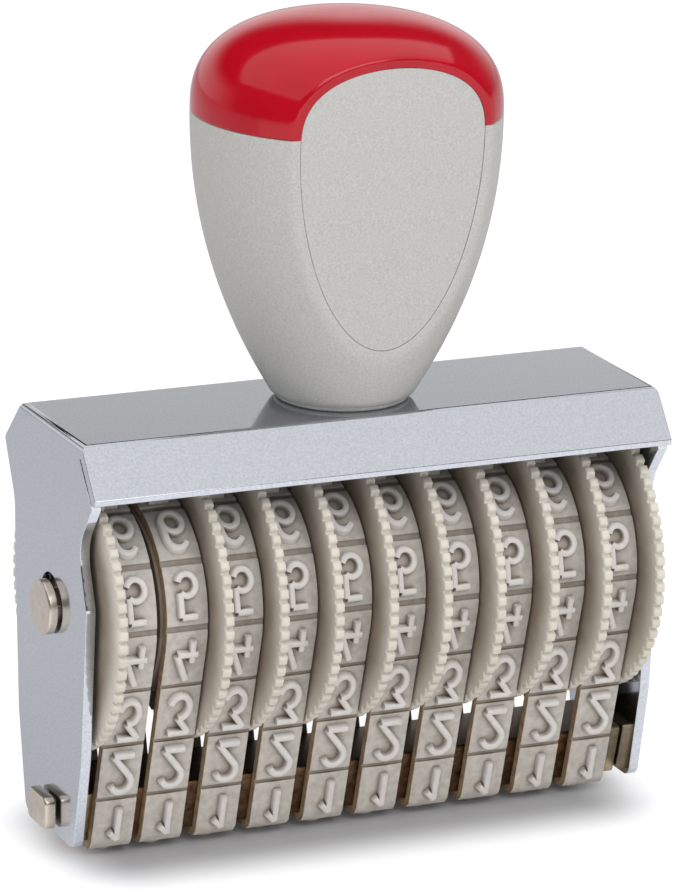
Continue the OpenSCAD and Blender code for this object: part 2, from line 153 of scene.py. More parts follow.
def seen_directly(tree, path):
    """1 where the camera looks, also through something clear, and 0 for rays that light or mirror."""
    return maths(tree, "MAXIMUM", path.outputs["Is Camera Ray"], path.outputs["Is Transmission Ray"])


# %% Room
WHITE = (1, 1, 1, 1)
LEFT_LIGHT = 0.58
RIGHT_LIGHT = 0.35
WALL = 0.88
DARK_GAP = 0.02
FRONT = 0.10
# How much a ray rises where the wall ends and where the gap is dark,
# and how much it points back where the front ends and where the wall is full.
WALL_TOP = (0.18, 0.44)
WALL_SIDES = (0.3, 0.85)


def studio_room():
    """White to the camera, a soft fill for light, and for metal a wall with a dark gap above it."""
    room = bpy.data.worlds.new("studio_room")
    room.use_nodes = True
    tree = room.node_tree
    way = add_node(tree, "ShaderNodeTexCoord")
    parts = add_node(tree, "ShaderNodeSeparateXYZ", {"Vector": way.outputs["Generated"]})
    path = add_node(tree, "ShaderNodeLightPath")
    wall = mapped(tree, parts.outputs["Z"], *WALL_TOP, WALL, DARK_GAP, soft=True)
    behind = mapped(tree, parts.outputs["Y"], *WALL_SIDES, soft=True)
    mirrored = mixed(tree, behind, FRONT, wall)
    fill = mapped(tree, parts.outputs["X"], -1, 1, LEFT_LIGHT, RIGHT_LIGHT)
    lit = mixed(tree, path.outputs["Is Glossy Ray"], fill, mirrored)
    strength = mixed(tree, seen_directly(tree, path), lit, 1.0)
    fill_in(tree, tree.nodes["Background"], {"Color": WHITE, "Strength": strength})
    return room


scene.world = studio_room()

# %% [markdown]
# The floor is white paper. It throws light up at the lowest figures as paper does, but near the stamp the
# camera sees a deeper tone of it: the shadow lies there, and it is painted deeper, because the camera sees
# a darker paper than the one that bounces light, and the glow is held back round the foot. Farther out a
# glow lifts the paper to white. Only the camera and the metal see that glow: the metal all of it in front
# of the stamp and a third of it behind, which keeps the left cheek a calm grey.

# %% Floor
FLOOR_SIZE = 6.0
FLOOR_DROP = 0.02 * MM
# The paper that the camera sees is darker than the paper that bounces light, which paints the shadow deeper.
SHADED_PAPER = (0.44, 0.44, 0.46, 1)
BOUNCING_PAPER = (0.80, 0.785, 0.77, 1)
PAPER_ROUGHNESS = 0.9
PAPER_SHINE = 0.1
NEAR_GLOW = 0.02
FAR_GLOW = 0.66
MIRRORED_FRONT = 1.0
MIRRORED_BACK = 0.32
SHADOW_CORE = (28 * MM, 7 * MM, 0)
SHADOW_REACH = 12 * MM


def vector_maths(tree, operation, *values):
    """The result of one operation on vectors; a length is a number."""
    made = add_node(tree, "ShaderNodeVectorMath", dict(enumerate(values)), operation=operation)
    return made.outputs["Value" if operation == "LENGTH" else "Vector"]


def own_place(tree):
    """Places on the piece itself, in metres."""
    return add_node(tree, "ShaderNodeTexCoord").outputs["Object"]


def new_finish(name, paint, **shades):
    """A new finish; a function paints its layers and says which input of the shader takes what."""
    finish = bpy.data.materials.new(name)
    finish.use_nodes = True
    tree = finish.node_tree
    fill_in(tree, tree.nodes["Principled BSDF"], paint(tree, **shades))
    return finish


def white_paper(tree):
    """Paper whose real shadow is painted deeper round the foot of the stamp, and white to the camera farther
    out.
    """
    path = add_node(tree, "ShaderNodeLightPath")
    place = own_place(tree)
    beyond = vector_maths(tree, "SUBTRACT", vector_maths(tree, "ABSOLUTE", place), SHADOW_CORE)
    away = vector_maths(tree, "LENGTH", vector_maths(tree, "MAXIMUM", beyond, (0, 0, 0)))
    # Painted shadow: the glow is held back round the foot of the stamp.
    glow = mapped(tree, away, 0, SHADOW_REACH, NEAR_GLOW, FAR_GLOW, soft=True)
    parts = add_node(tree, "ShaderNodeSeparateXYZ", {"Vector": place})
    share = mapped(tree, parts.outputs["Y"], -SHADOW_REACH, SHADOW_REACH, MIRRORED_FRONT, MIRRORED_BACK)
    seen = maths(tree, "MULTIPLY_ADD", path.outputs["Is Glossy Ray"], share, seen_directly(tree, path))
    return {
        "Base Color": mixed(tree, path.outputs["Is Diffuse Ray"], SHADED_PAPER, BOUNCING_PAPER, "RGBA"),
        "Roughness": PAPER_ROUGHNESS,
        "Specular IOR Level": PAPER_SHINE,
        "Emission Color": WHITE,
        "Emission Strength": maths(tree, "MULTIPLY", seen, glow),
    }


bpy.ops.object.select_all(action="DESELECT")
bpy.ops.mesh.primitive_plane_add(size=FLOOR_SIZE, location=(0, 0, -FLOOR_DROP))
floor = bpy.context.object
floor.name = "floor"
floor.data.materials.append(new_finish("white_paper", white_paper))

# %% [markdown]
# Three soft boxes light the stamp. The ceiling panel is wide, so that the brow and the red crown mirror a
# broad field. The front light models the handle and the teeth, and a long low one reaches under the
# wheels to the figures near the floor.

# %% Lamps
middle = (cad_low + cad_high) / 2
LAMPS = {
    "ceiling_panel": {
        "place": (-0.12, -0.07, 0.85),
        "aim": (-0.12, -0.07, 0),
        "size": (2.1, 1.65),
        "watts": 9.6,
    },
    "front_light": {"place": (0.06, -0.76, 0.66), "aim": middle, "size": (0.6, 0.5), "watts": 2.6},
    "low_light": {"place": (0.12, -0.95, 0.10), "aim": (0, 0, 0.015), "size": (1.3, 0.14), "watts": 0.7},
}


def soft_box(name, place, aim, size, watts):
    """A rectangular studio lamp that looks at a point."""
    bpy.ops.object.select_all(action="DESELECT")
    bpy.ops.object.light_add(type="AREA", location=place)
    lamp = bpy.context.object
    lamp.name = name
    lamp.data.shape = "RECTANGLE"
    lamp.data.size = size[0]
    lamp.data.size_y = size[1]
    lamp.data.energy = watts
    lamp.rotation_euler = (Vector(place) - Vector(aim)).to_track_quat("Z", "Y").to_euler()


for name, values in LAMPS.items():
    soft_box(name, **values)

# %% [markdown]
# ## Finishes
# Every finish starts from the same three layers: a slow change of colour, a fine grain that also changes
# the roughness, and a small bump. What differs is the size of the grain and how strong each layer is.
# Grain sizes are real sizes in millimetres, and all patterns sit on the piece itself. Some finishes also
# carry painted light and shade: the wheels have painted shade beside the bands and a painted highlight at
# the teeth, the print bar has painted shade between the bands, and the rubber has painted shade in its
# corners and pockets, which are found by measuring how closed in each point is.

# %% Layers of a finish
NOISE_MIDDLE = 0.5
NOISE_SPREAD = 0.2


def grain_noise(tree, size_mm, detail=3.0, stretch=(1, 1, 1)):
    """Noise with patches of about this size, which may be stretched into streaks."""
    place = add_node(tree, "ShaderNodeMapping", {"Vector": own_place(tree), "Scale": stretch})
    noise = add_node(
        tree,
        "ShaderNodeTexNoise",
        {"Vector": place.outputs["Vector"], "Scale": 1 / (size_mm * MM), "Detail": detail},
    )
    return noise.outputs["Fac"]


def ranged(tree, noise, low, high):
    """The middle part of a noise, mapped to run from one value to another."""
    return mapped(tree, noise, NOISE_MIDDLE - NOISE_SPREAD, NOISE_MIDDLE + NOISE_SPREAD, low, high)


def between(tree, noise, dark, light):
    """A colour that a noise moves between two shades."""
    return mixed(tree, ranged(tree, noise, 0, 1), (*dark, 1), (*light, 1), "RGBA")


def bumped(tree, noise, depth_mm):
    """A surface that rises and falls with a noise by about this depth."""
    bump = add_node(tree, "ShaderNodeBump", {"Height": noise, "Strength": 1.0, "Distance": depth_mm * MM})
    return bump.outputs["Normal"]


# %% Metal finishes
ALONG_THE_ROLL = (0.05, 1, 1)
TURNING_MARKS = (1, 0.1, 1)
MARKS_ROUGHER = 0.12
# Painted shade on the print bar: dark within the first reach, its own nickel past the second.
PAINTED_SHADE_END = 32.6 * MM
UNSHADED_START = 33.2 * MM


def plated_sheet(tree):
    """Bright plating on rolled steel: cool, with a fine even grain and faint streaks along the roll."""
    grain = grain_noise(tree, size_mm=0.28)
    streak = grain_noise(tree, size_mm=0.25, stretch=ALONG_THE_ROLL)
    return {
        "Metallic": 1.0,
        "Base Color": between(tree, grain, dark=(0.515, 0.54, 0.585), light=(0.625, 0.65, 0.695)),
        "Roughness": ranged(tree, streak, low=0.08, high=0.13),
        "Normal": bumped(tree, streak, depth_mm=0.0008),
    }


def turned_metal(tree, dark, light, rough):
    """Dull nickel or brass with a cloudy tone and short turning marks."""
    cloud = grain_noise(tree, size_mm=1.2, detail=5.0)
    scratch = grain_noise(tree, size_mm=0.15, stretch=TURNING_MARKS)
    return {
        "Metallic": 1.0,
        "Base Color": between(tree, cloud, dark, light),
        "Roughness": ranged(tree, scratch, rough, rough + MARKS_ROUGHER),
        "Normal": bumped(tree, scratch, depth_mm=0.003),
    }


def bar_with_painted_shade(tree):
    """The print bar: warm nickel at its ends, with a painted shade that darkens it between the bands."""
    cloud = grain_noise(tree, size_mm=0.8, detail=5.0)
    parts = add_node(tree, "ShaderNodeSeparateXYZ", {"Vector": own_place(tree)})
    # Painted shade: the bar is dark between the bands and keeps its own nickel at its ends.
    unshaded_ends = mapped(tree, maths(tree, "ABSOLUTE", parts.outputs["X"]), PAINTED_SHADE_END, UNSHADED_START)
    bar_painted_shade = between(tree, cloud, dark=(0.07, 0.04, 0.02), light=(0.20, 0.12, 0.06))
    nickel = between(tree, cloud, dark=(0.42, 0.33, 0.20), light=(0.52, 0.43, 0.29))
    return {
        "Metallic": 1.0,
        "Base Color": mixed(tree, unshaded_ends, bar_painted_shade, nickel, "RGBA"),
        "Roughness": ranged(tree, cloud, low=0.36, high=0.5),
        "Normal": bumped(tree, cloud, depth_mm=0.006),
    }


# %% Plastic finishes
RED_SHINE = 0.4
# Painted shade and painted highlight on the wheels: darker inside the first radius, paler at the teeth past
# the second.
PAINTED_SHADE_RADIUS = 12.5 * MM
PAINTED_LIGHT_RADIUS = 16.8 * MM


def grey_plastic(tree):
    """Warm pale grey moulding with a fine speckle and a faint spark-eroded grain."""
    speckle = grain_noise(tree, size_mm=0.22, detail=2.0)
    grain = grain_noise(tree, size_mm=0.14, detail=2.0)
    return {
        "Base Color": between(tree, speckle, dark=(0.455, 0.45, 0.43), light=(0.57, 0.565, 0.545)),
        "Roughness": ranged(tree, grain, low=0.42, high=0.55),
        "Normal": bumped(tree, grain, depth_mm=0.006),
    }


def red_plastic(tree):
    """Glossy deep red moulding; its skin is almost a mirror, with the slight unevenness of a mould."""
    slow = grain_noise(tree, size_mm=5.0, detail=2.0)
    fine = grain_noise(tree, size_mm=0.3, detail=2.0)
    return {
        "Base Color": between(tree, slow, dark=(0.43, 0.0008, 0.010), light=(0.475, 0.0011, 0.013)),
        "Roughness": ranged(tree, fine, low=0.10, high=0.14),
        "Specular IOR Level": RED_SHINE,
        "Normal": bumped(tree, slow, depth_mm=0.01),
    }


def wheel_plastic(tree):
    """Cream plastic of the thumb wheels, with painted shade beside the band and a painted highlight at the
    teeth.
    """
    low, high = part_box("number_wheel_2")
    slow = grain_noise(tree, size_mm=3.0)
    fine = grain_noise(tree, size_mm=0.2, detail=2.0)
    from_axle = vector_maths(tree, "SUBTRACT", own_place(tree), (low + high) / 2)
    radius = vector_maths(tree, "LENGTH", vector_maths(tree, "MULTIPLY", from_axle, (0, 1, 1)))
    # Painted shade beside the band and a painted highlight at the teeth, by distance from the axle.
    wheel_painted_light = mapped(tree, radius, PAINTED_SHADE_RADIUS, PAINTED_LIGHT_RADIUS, soft=True)
    wheel_painted_shade = between(tree, slow, dark=(0.27, 0.22, 0.17), light=(0.35, 0.295, 0.24))
    cream_with_painted_light = between(tree, slow, dark=(0.65, 0.605, 0.53), light=(0.735, 0.69, 0.615))
    return {
        "Base Color": mixed(tree, wheel_painted_light, wheel_painted_shade, cream_with_painted_light, "RGBA"),
        "Roughness": ranged(tree, fine, low=0.40, high=0.52),
        "Normal": bumped(tree, fine, depth_mm=0.006),
    }


# %% Rubber, and the list of finishes
POCKET_REACH = 1.3 * MM
POCKET_SAMPLES = 8
# How open a point is where the painted shade is full, and where none is painted.
POCKET_DEEP = 0.40
POCKET_OPEN = 0.88
# The colour of the painted shade in the rubber's corners and pockets.
POCKET_PAINTED_SHADE = (0.19, 0.145, 0.11)


def band_rubber(tree, dark, light):
    """Soft matt rubber with cloudy bloom, fine pores, and painted shade in its corners and pockets."""
    bloom = grain_noise(tree, size_mm=0.9, detail=4.0)
    pores = grain_noise(tree, size_mm=0.12, detail=2.0)
    pocket = add_node(
        tree,
        "ShaderNodeAmbientOcclusion",
        {"Distance": POCKET_REACH},
        only_local=True,
        samples=POCKET_SAMPLES,
    )
    # Painted shade: the more closed in a point is, the darker the rubber is painted.
    unshaded_share = mapped(tree, pocket.outputs["AO"], POCKET_DEEP, POCKET_OPEN)
    return {
        "Base Color": mixed(tree, unshaded_share, (*POCKET_PAINTED_SHADE, 1), between(tree, bloom, dark, light), "RGBA"),
        "Roughness": ranged(tree, pores, low=0.58, high=0.72),
        "Normal": bumped(tree, pores, depth_mm=0.008),
    }


PAINTS = {
    "plated_sheet": (plated_sheet, {}),
    "nickel": (turned_metal, {"dark": (0.61, 0.54, 0.46), "light": (0.71, 0.64, 0.55), "rough": 0.26}),
    "bar_metal": (bar_with_painted_shade, {}),
    "brass": (turned_metal, {"dark": (0.55, 0.40, 0.16), "light": (0.66, 0.50, 0.22), "rough": 0.28}),
    "grey_plastic": (grey_plastic, {}),
    "red_plastic": (red_plastic, {}),
    "wheel_plastic": (wheel_plastic, {}),
    "band_rubber": (band_rubber, {"dark": (0.465, 0.43, 0.39), "light": (0.60, 0.57, 0.53)}),
    # Painted highlight: the figures are painted paler than the blocks.
    "band_figure": (band_rubber, {"dark": (0.67, 0.645, 0.62), "light": (0.75, 0.725, 0.70)}),
    "band_edge": (band_rubber, {"dark": (0.32, 0.21, 0.12), "light": (0.50, 0.37, 0.24)}),
    # Painted shade: the web is painted darker, which shades the grooves between the blocks.
    "band_web": (band_rubber, {"dark": (0.25, 0.215, 0.18), "light": (0.34, 0.30, 0.26)}),
}
FINISHES = {name: new_finish(name, paint, **shades) for name, (paint, shades) in PAINTS.items()}
print("finishes:", sorted(FINISHES))

# %% [markdown]
# ## Small tools for modelling
# An operator works on whatever is selected, so each tool first clears the selection and picks one piece.
# A turned piece starts as a single point, pulled along its outline and spun round. A finished piece is
# given its finish and its ride, and the solids that it stands for are hidden, in one place, so that nothing
# is forgotten.

# %% Selecting and editing
MERGE = 1e-6


def pick(piece):
    """Selects one piece and nothing else."""
    bpy.ops.object.select_all(action="DESELECT")
    piece.select_set(True)
    bpy.context.view_layer.objects.active = piece


def edit(piece):
    """Opens one piece for editing with all of it selected."""
    pick(piece)
    bpy.ops.object.mode_set(mode="EDIT")
    bpy.ops.mesh.select_all(action="SELECT")


def leave_edit():
    """Goes back to whole pieces."""
    bpy.ops.object.mode_set(mode="OBJECT")


def edit_chosen(piece, kind, choose):
    """Opens one piece for editing with only the edges or faces selected that a function chooses."""
    edit(piece)
    bpy.ops.mesh.select_all(action="DESELECT")
    bpy.ops.mesh.select_mode(type=kind)
    leave_edit()
    for element in choose(piece.data):
        element.select = True
    bpy.ops.object.mode_set(mode="EDIT")


def pull(way):
    """Extrudes what is selected and moves the new part."""
    bpy.ops.mesh.extrude_region_move(TRANSFORM_OT_translate={"value": way})


def close_skin():
    """Merges points that coincide, turns all faces outwards and leaves editing."""
    bpy.ops.mesh.select_all(action="SELECT")
    bpy.ops.mesh.remove_doubles(threshold=MERGE)
    bpy.ops.mesh.normals_make_consistent(inside=False)
    leave_edit()


# %% Finishing a piece
def apply_modifier(piece, kind, **settings):
    """Adds one modifier with its settings and makes it part of the mesh."""
    pick(piece)
    modifier = piece.modifiers.new(kind, kind)
    for name, value in settings.items():
        setattr(modifier, name, value)
    bpy.ops.object.modifier_apply(modifier=modifier.name)


def soften(piece, width_mm, segments, angle):
    """Bevels every edge that is sharper than this angle in degrees."""
    apply_modifier(
        piece,
        "BEVEL",
        width=width_mm * MM,
        segments=segments,
        limit_method="ANGLE",
        angle_limit=math.radians(angle),
        use_clamp_overlap=False,
    )


def smooth(piece, angle):
    """Shades smooth over bends that are gentler than this angle in degrees."""
    pick(piece)
    bpy.ops.object.shade_smooth_by_angle(angle=math.radians(angle))


def dress(piece, slot, body, *nodes):
    """Gives a finished piece its finish and its ride, and hides the solids that it stands for."""
    if not piece.data.materials:
        piece.data.materials.append(FINISHES[slot])
    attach(piece, body)
    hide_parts(*nodes)


def join(first, *others):
    """Makes several pieces one."""
    pick(first)
    for other in others:
        other.select_set(True)
    bpy.ops.object.join()
    return first


# %% Drawing and turning
FINE_MERGE = 1e-7
ROUND_STEPS = 5


def draw_line(name, points):
    """One point pulled along a row of places; a row that ends where it starts becomes a ring."""
    bpy.ops.object.select_all(action="DESELECT")
    bpy.ops.mesh.primitive_plane_add(size=MM)
    line = bpy.context.object
    line.name = name
    edit(line)
    bpy.ops.mesh.merge(type="CENTER")
    places = [Vector(p) for p in points]
    bpy.ops.transform.translate(value=places[0])
    for here, there in zip(places, places[1:]):
        pull(there - here)
    bpy.ops.mesh.select_all(action="SELECT")
    bpy.ops.mesh.remove_doubles(threshold=FINE_MERGE)
    leave_edit()
    return line


def turn_round(line, steps, axis, centre=(0, 0, 0)):
    """Spins a drawn outline into a closed solid."""
    edit(line)
    bpy.ops.mesh.spin(steps=steps, angle=2 * math.pi, center=centre, axis=axis)
    close_skin()
    return line


def rounded_end(along, across, radius):
    """A quarter round from a flank to an end face, as places along and across."""
    turns = [math.pi / 2 * k / ROUND_STEPS for k in range(ROUND_STEPS + 1)]
    return [(along - radius + radius * math.sin(a), across - radius + radius * math.cos(a)) for a in turns]


# %% [markdown]
# ## The handle
# The handle is a plump pear of grey plastic with a red cap pressed on its crown. Two flat facets are cut
# on its front and back, and each carries an oval panel with a fine groove round it that runs up into the
# red. A lathe gives the pear: the flank is one smooth curve from the foot to the widest ring, the crown a
# full dome. The facets are pressed flat in code with a soft limit, which rounds the rim as a mould does.
# A plane cut would leave a knife edge there.

# %% The pear's outline
FOOT_RADIUS = 7.75
FLANK_LEAN = math.radians(32.8)
FLANK_PULL_LOW = 15.9
FLANK_PULL_HIGH = 8.1
FLANK_STEPS = 90
DOME_FULLNESS = 2.56
DOME_STEPS = 60
DOME_CROWDING = 1.5

cap_low, cap_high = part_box("handle_cap")
roof_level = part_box("handle_body")[0].z / MM
widest = cap_low.z / MM
crown = cap_high.z / MM
pear_radius = cap_high.x / MM


def flank_place(t):
    """Radius and height on the flank, from the foot at 0 to the widest ring at 1."""
    start = Vector((FOOT_RADIUS, roof_level))
    leave = start + FLANK_PULL_LOW * Vector((math.sin(FLANK_LEAN), math.cos(FLANK_LEAN)))
    end = Vector((pear_radius, widest))
    arrive = end - Vector((0, FLANK_PULL_HIGH))
    s = 1 - t
    return s**3 * start + 3 * s * s * t * leave + 3 * s * t * t * arrive + t**3 * end


def dome_place(t):
    """Radius and height on the crown, from the widest ring at 0 to the top at 1, crowded low down."""
    angle = math.pi / 2 * t**DOME_CROWDING
    radius = pear_radius * max(math.cos(angle), 0.0) ** (2 / DOME_FULLNESS)
    height = widest + (crown - widest) * math.sin(angle) ** (2 / DOME_FULLNESS)
    return Vector((radius, height))


flank = [flank_place(k / FLANK_STEPS) for k in range(FLANK_STEPS + 1)]
dome = [dome_place(k / DOME_STEPS) for k in range(DOME_STEPS + 1)]
radius_at = ([p[1] for p in flank + dome[1:]], [p[0] for p in flank + dome[1:]])
print("handle from", roof_level, "widest", widest, "to", crown)

# %% The oval on the facet
FACET_REACH = 12.9
FACET_TILT = math.radians(2.6)
FACET_LIMIT = 60.0
FACET_EXACT = 0.001
RIM_WIDTH = 1.15
OVAL_STEPS = 120

oval_middle = -(widest - roof_level) / 4


def on_facet(across, rise, sink=0.0):
    """Place on the front facet, measured from the widest level, and sunk into the handle."""
    y = -(FACET_REACH + rise * math.sin(FACET_TILT) - sink * math.cos(FACET_TILT))
    z = widest + rise * math.cos(FACET_TILT) + sink * math.sin(FACET_TILT)
    return Vector((across, y, z)) * MM


def inside_pear(across, rise):
    """True where a place on the facet's plane lies inside the round pear."""
    place = on_facet(across, rise) / MM
    return math.hypot(place.x, place.y) < np.interp(place.z, *radius_at, left=0, right=0)


def facet_edge(angle):
    """Distance from the oval's middle to the edge of the facet, by halving."""
    near, far = 0.0, FACET_LIMIT
    while far - near > FACET_EXACT:
        half = (near + far) / 2
        if inside_pear(half * math.cos(angle), oval_middle + half * math.sin(angle)):
            near = half
        else:
            far = half
    return near


oval_angles = [2 * math.pi * k / OVAL_STEPS for k in range(OVAL_STEPS)]
oval_reach = [facet_edge(a) - RIM_WIDTH for a in oval_angles]


def oval_plate(name, grow, proud, depth):
    """A plate with the oval's outline, grown all round, from proud of the facet to a depth."""
    outline = [
        on_facet((r + grow) * math.cos(a), oval_middle + (r + grow) * math.sin(a), -proud)
        for a, r in zip(oval_angles, oval_reach)
    ]
    plate = draw_line(name, outline + outline[:1])
    edit(plate)
    bpy.ops.mesh.edge_face_add()
    pull(on_facet(0, 0, depth) - on_facet(0, 0, -proud))
    close_skin()
    return plate


def both_facets(plate):
    """Adds the mirror image of a front plate for the back facet."""
    pick(plate)
    bpy.ops.object.duplicate()
    twin = bpy.context.object
    twin.data.transform(Matrix.Scale(-1, 4, (0, 1, 0)))
    edit(twin)
    close_skin()
    return join(plate, twin)


# %% Turn, press and groove the handle
FOOT_ROUND = 0.5
JOINT_ROUND = 0.25
JOINT_RINGS = (12, 6)
TURN_STEPS = 256
GROOVE = 0.06
PANEL_DEPTH = 0.16
PANEL_EDGE = 0.075
RECESS_PROUD = 3.0
RIM_SOFTNESS = 0.5


def turned_from_profile(name, profile):
    """A turned piece from radius and height in millimetres."""
    return turn_round(draw_line(name, [(p[0] * MM, 0, p[1] * MM) for p in profile]), TURN_STEPS, (0, 0, 1))


def rounded_bottom(bottom, radius, rounding):
    """A quarter round from a bottom face up to the flank, as radii and heights."""
    return [(r, 2 * bottom - z) for z, r in rounded_end(bottom, radius, rounding)][::-1]


def press_facets(piece):
    """Presses front and back flat, with a soft limit where the facet meets the pear."""
    softness = RIM_SOFTNESS * MM
    for vertex in piece.data.vertices:
        depth = abs(vertex.co.y)
        flat = (FACET_REACH + (vertex.co.z / MM - widest) * math.tan(FACET_TILT)) * MM
        near = max(1 - abs(depth - flat) / softness, 0)
        pressed = min(depth, flat) - near * near * softness / 4
        vertex.co.y = math.copysign(max(pressed, 0), vertex.co.y)


joint_face = [(r, widest) for r in (*JOINT_RINGS, 0)]
foot = rounded_bottom(roof_level, FOOT_RADIUS, FOOT_ROUND)
body_side = [p for p in flank if roof_level + FOOT_ROUND < p[1] < widest - JOINT_ROUND]
body_top = [(r, z) for z, r in rounded_end(widest, pear_radius, JOINT_ROUND)]
body = turned_from_profile("grey_handle", [(0, roof_level), *foot, *body_side, *body_top, *joint_face])
cap_bottom = rounded_bottom(widest, pear_radius, JOINT_ROUND)
cap_side = [p for p in dome if p[1] > widest + JOINT_ROUND]
cap = turned_from_profile("red_cap", [*joint_face[::-1], *cap_bottom, *cap_side])
panel = both_facets(oval_plate("oval_panel", grow=0, proud=0, depth=PANEL_DEPTH))
soften(panel, PANEL_EDGE, segments=3, angle=30)
recess = both_facets(oval_plate("oval_recess", grow=GROOVE, proud=RECESS_PROUD, depth=PANEL_DEPTH))
for piece in (body, cap):
    press_facets(piece)
    apply_modifier(piece, "BOOLEAN", object=recess, operation="DIFFERENCE", solver="EXACT")
bpy.data.objects.remove(recess)
join(body, panel)
for piece in (body, cap):
    smooth(piece, angle=30)
    print(piece.name, "has", len(piece.data.polygons), "faces")
dress(body, "grey_plastic", "stamp", "handle_body")
dress(cap, "red_plastic", "stamp", "handle_cap")

# %% [markdown]
# ## The folded frame
# The frame is one plated sheet: a roof, two cheeks folded down at its ends, and a sloping brow in front
# and behind. Its solid already has the true outline and the small radius of every fold, so a copy of that
# mesh is merged and only the cut edges of the cheeks are broken, as a tumbling drum breaks them. Flat
# faces then keep flat shading, because the larger a face is, the more it decides how its corners are
# shaded.

# %% Break the edges of a copied solid
FLAT_ANGLE = math.radians(1)
FACES_SIDEWAYS = 0.99
FACES_ALONG = 0.3
SHEET_EDGE = 0.09


def copy_of(source, name):
    """A new piece with a copy of another one's mesh."""
    copy = bpy.data.objects.new(name, source.data.copy())
    scene.collection.objects.link(copy)
    return copy


def merged_copy(node, name):
    """A copy of a solid's mesh as one skin, without the seams between its facets."""
    copy = copy_of(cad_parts[node], name)
    copy.data.materials.clear()
    edit(copy)
    bpy.ops.mesh.remove_doubles(threshold=MERGE)
    bpy.ops.mesh.dissolve_limited(angle_limit=FLAT_ANGLE)
    leave_edit()
    return copy


def cut_edges(mesh):
    """Edges where a cheek's flat face meets the thickness of the sheet."""
    beside = {}
    for face in mesh.polygons:
        for key in face.edge_keys:
            beside.setdefault(key, []).append(abs(face.normal.x))
    return [e for e in mesh.edges if max(beside[e.key]) > FACES_SIDEWAYS and min(beside[e.key]) < FACES_ALONG]


def bevel_edges(piece, choose, width_mm, segments):
    """Bevels the edges of a piece that a function chooses."""
    edit_chosen(piece, "EDGE", choose)
    bpy.ops.mesh.bevel(offset=width_mm * MM, segments=segments, affect="EDGES", clamp_overlap=False)
    bpy.ops.mesh.select_mode(type="VERT")
    leave_edit()


sheet = merged_copy("frame", "folded_sheet")
bevel_edges(sheet, cut_edges, SHEET_EDGE, segments=2)
smooth(sheet, angle=35)
apply_modifier(sheet, "WEIGHTED_NORMAL", keep_sharp=True)
dress(sheet, "plated_sheet", "stamp", "frame")
print("the sheet has", len(sheet.data.polygons), "faces")

# %% [markdown]
# ## The print bar
# The print bar is a drawn nickel bar that lies across the frame under all ten bands. Its ends pass
# through a notch in each cheek and carry a small block outside, which keeps the bar from sliding. The
# blocks are handled and stay bright, while the bar itself is warm and dull, and is painted dark between
# the bands as painted shade. A copy of the solid is bevelled twice: the rims of the block ends are worn
# round, and all other edges only lose their sharpness.

# %% Round the print bar
BLOCK_RIM = 0.32
BAR_EDGE = 0.15
AT_END = 0.01 * MM

bar_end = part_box("print_bar")[1].x
cheek_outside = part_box("frame")[1].x


def edges_among(mesh, chosen):
    """Edges that have both ends at places which a test picks."""
    inside = [chosen(vertex.co) for vertex in mesh.vertices]
    return [e for e in mesh.edges if all(inside[v] for v in e.vertices)]


def block_rims(mesh):
    """Edges round the outer end faces of the two blocks."""
    return edges_among(mesh, lambda place: abs(abs(place.x) - bar_end) < AT_END)


bar = merged_copy("print_bar", "bar_and_blocks")
bevel_edges(bar, block_rims, BLOCK_RIM, segments=4)
soften(bar, BAR_EDGE, segments=2, angle=40)
smooth(bar, angle=40)
for name in ("bar_metal", "nickel"):
    bar.data.materials.append(FINISHES[name])
for face in bar.data.polygons:
    face.material_index = 1 if abs(face.center.x) > cheek_outside else 0
dress(bar, "bar_metal", "stamp", "print_bar")
print("the bar reaches", round(bar_end / MM, 2), "mm to each side")

# %% [markdown]
# ## The axle
# The axle is a plain nickel rod with a flat head at each end, outside the cheeks. The left head is one
# with the rod and the right one is pressed on. Both are turned from an outline that has a rounded rim,
# because the rim is the part that shines.

# %% Turn the axle and its pressed head
ROD_RADIUS = 2.0
ROD_SHORT = 0.02
ROD_ROUND = 0.2
HEAD_RIM = 0.3
HEAD_CHAMFER = 0.15
AXLE_STEPS = 64

axle_low, axle_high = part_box("axle")
head_low, head_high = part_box("axle_cap")
axle_centre = (axle_low + axle_high) / 2
head_radius = (axle_high.z - axle_low.z) / 2 / MM
head_thickness = (head_high.x - head_low.x) / MM


def turned_along_x(name, outline):
    """A turned piece on the axle's line, from places along X and radii in millimetres."""
    points = [(x * MM, 0, axle_centre.z + r * MM) for x, r in outline]
    return turn_round(draw_line(name, points), AXLE_STEPS, (1, 0, 0), (0, 0, axle_centre.z))


rim = rounded_end(head_thickness, head_radius, HEAD_RIM)
left = axle_low.x / MM
left_inner = left + head_thickness
rod_tip = axle_high.x / MM - ROD_SHORT
rod_outline = [
    (left, 0),
    *[(left_inner - x, r) for x, r in rim[::-1]],
    (left_inner, head_radius),
    (left_inner, ROD_RADIUS),
    *rounded_end(rod_tip, ROD_RADIUS, ROD_ROUND),
    (rod_tip, 0),
]
rod = turned_along_x("axle_rod", rod_outline)
inner = head_low.x / MM
outer = inner + head_thickness
head_outline = [
    (inner, ROD_RADIUS),
    (inner, head_radius),
    *[(inner + x, r) for x, r in rim],
    (outer, ROD_RADIUS + HEAD_CHAMFER),
    (outer - HEAD_CHAMFER, ROD_RADIUS),
    (inner, ROD_RADIUS),
]
head = turned_along_x("pressed_head", head_outline)
for piece in (rod, head):
    smooth(piece, angle=30)
dress(rod, "nickel", "stamp", "axle")
dress(head, "nickel", "stamp", "axle_cap")
print("axle from", round(left, 2), "to", round(axle_high.x / MM, 2))

